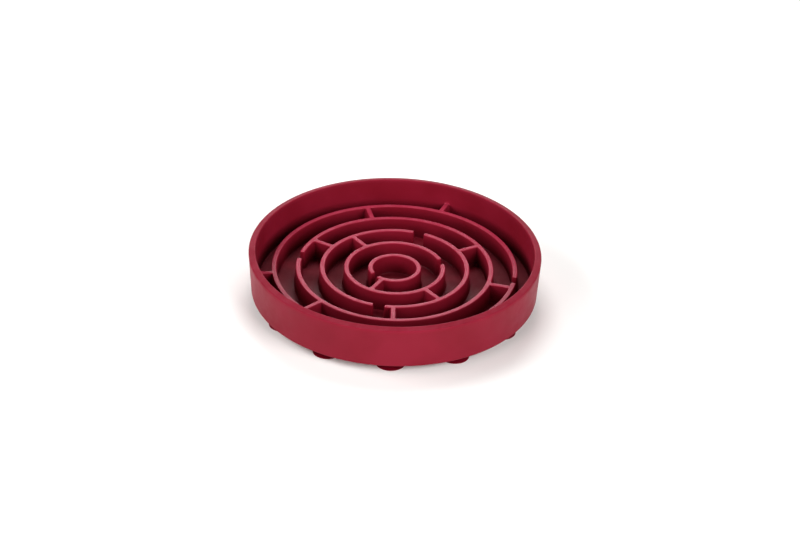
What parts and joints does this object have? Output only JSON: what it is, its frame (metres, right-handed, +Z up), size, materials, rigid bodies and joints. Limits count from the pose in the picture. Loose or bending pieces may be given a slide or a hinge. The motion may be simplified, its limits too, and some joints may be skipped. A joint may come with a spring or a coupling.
{
  "type": "slow feeder bowl",
  "caption": "Shallow round silicone pet bowl with a maze of gapped ring walls and cross walls on its floor that slows eating, on suction cup feet.",
  "frame": {"origin": "on the surface that the suction cups stand on, under the middle of the bowl", "axes": "+Z up along the bowl's axis; -Y towards the viewer, +X to the right in the picture"},
  "size_m": [0.201, 0.201, 0.0359],
  "materials": {
    "bowl_silicone": "matte moulded silicone",
    "cup_silicone": "satin moulded silicone"
  },
  "bodies": {
    "bowl": {"bowl_floor": "bowl_silicone", "rim_wall": "bowl_silicone", "maze_ring_1": "bowl_silicone", "maze_ring_2": "bowl_silicone", "maze_ring_3": "bowl_silicone", "maze_ring_4": "bowl_silicone", "maze_ring_5": "bowl_silicone", "cross_walls_1_to_2": "bowl_silicone", "cross_walls_2_to_3": "bowl_silicone", "cross_walls_3_to_4": "bowl_silicone", "cross_walls_4_to_5": "bowl_silicone", "cross_walls_5_to_rim": "bowl_silicone"},
    "cup_01": {"suction_cup_01": "cup_silicone"},
    "cup_02": {"suction_cup_02": "cup_silicone"},
    "cup_03": {"suction_cup_03": "cup_silicone"},
    "cup_04": {"suction_cup_04": "cup_silicone"},
    "cup_05": {"suction_cup_05": "cup_silicone"},
    "cup_06": {"suction_cup_06": "cup_silicone"},
    "cup_07": {"suction_cup_07": "cup_silicone"},
    "cup_08": {"suction_cup_08": "cup_silicone"},
    "cup_09": {"suction_cup_09": "cup_silicone"},
    "cup_10": {"suction_cup_10": "cup_silicone"},
    "cup_11": {"suction_cup_11": "cup_silicone"},
    "cup_12": {"suction_cup_12": "cup_silicone"}
  },
  "joints": [
    {"name": "cup_01_press", "type": "slide", "parent": "bowl", "child": "cup_01", "axis": [0, 0, 1], "range_m": [0, 0.002], "deforming": ["suction_cup_01"]},
    {"name": "cup_02_press", "type": "slide", "parent": "bowl", "child": "cup_02", "axis": [0, 0, 1], "range_m": [0, 0.002], "deforming": ["suction_cup_02"]},
    {"name": "cup_03_press", "type": "slide", "parent": "bowl", "child": "cup_03", "axis": [0, 0, 1], "range_m": [0, 0.002], "deforming": ["suction_cup_03"]},
    {"name": "cup_04_press", "type": "slide", "parent": "bowl", "child": "cup_04", "axis": [0, 0, 1], "range_m": [0, 0.002], "deforming": ["suction_cup_04"]},
    {"name": "cup_05_press", "type": "slide", "parent": "bowl", "child": "cup_05", "axis": [0, 0, 1], "range_m": [0, 0.002], "deforming": ["suction_cup_05"]},
    {"name": "cup_06_press", "type": "slide", "parent": "bowl", "child": "cup_06", "axis": [0, 0, 1], "range_m": [0, 0.002], "deforming": ["suction_cup_06"]},
    {"name": "cup_07_press", "type": "slide", "parent": "bowl", "child": "cup_07", "axis": [0, 0, 1], "range_m": [0, 0.002], "deforming": ["suction_cup_07"]},
    {"name": "cup_08_press", "type": "slide", "parent": "bowl", "child": "cup_08", "axis": [0, 0, 1], "range_m": [0, 0.002], "deforming": ["suction_cup_08"]},
    {"name": "cup_09_press", "type": "slide", "parent": "bowl", "child": "cup_09", "axis": [0, 0, 1], "range_m": [0, 0.002], "deforming": ["suction_cup_09"]},
    {"name": "cup_10_press", "type": "slide", "parent": "bowl", "child": "cup_10", "axis": [0, 0, 1], "range_m": [0, 0.002], "deforming": ["suction_cup_10"]},
    {"name": "cup_11_press", "type": "slide", "parent": "bowl", "child": "cup_11", "axis": [0, 0, 1], "range_m": [0, 0.002], "deforming": ["suction_cup_11"]},
    {"name": "cup_12_press", "type": "slide", "parent": "bowl", "child": "cup_12", "axis": [0, 0, 1], "range_m": [0, 0.002], "deforming": ["suction_cup_12"]}
  ]
}
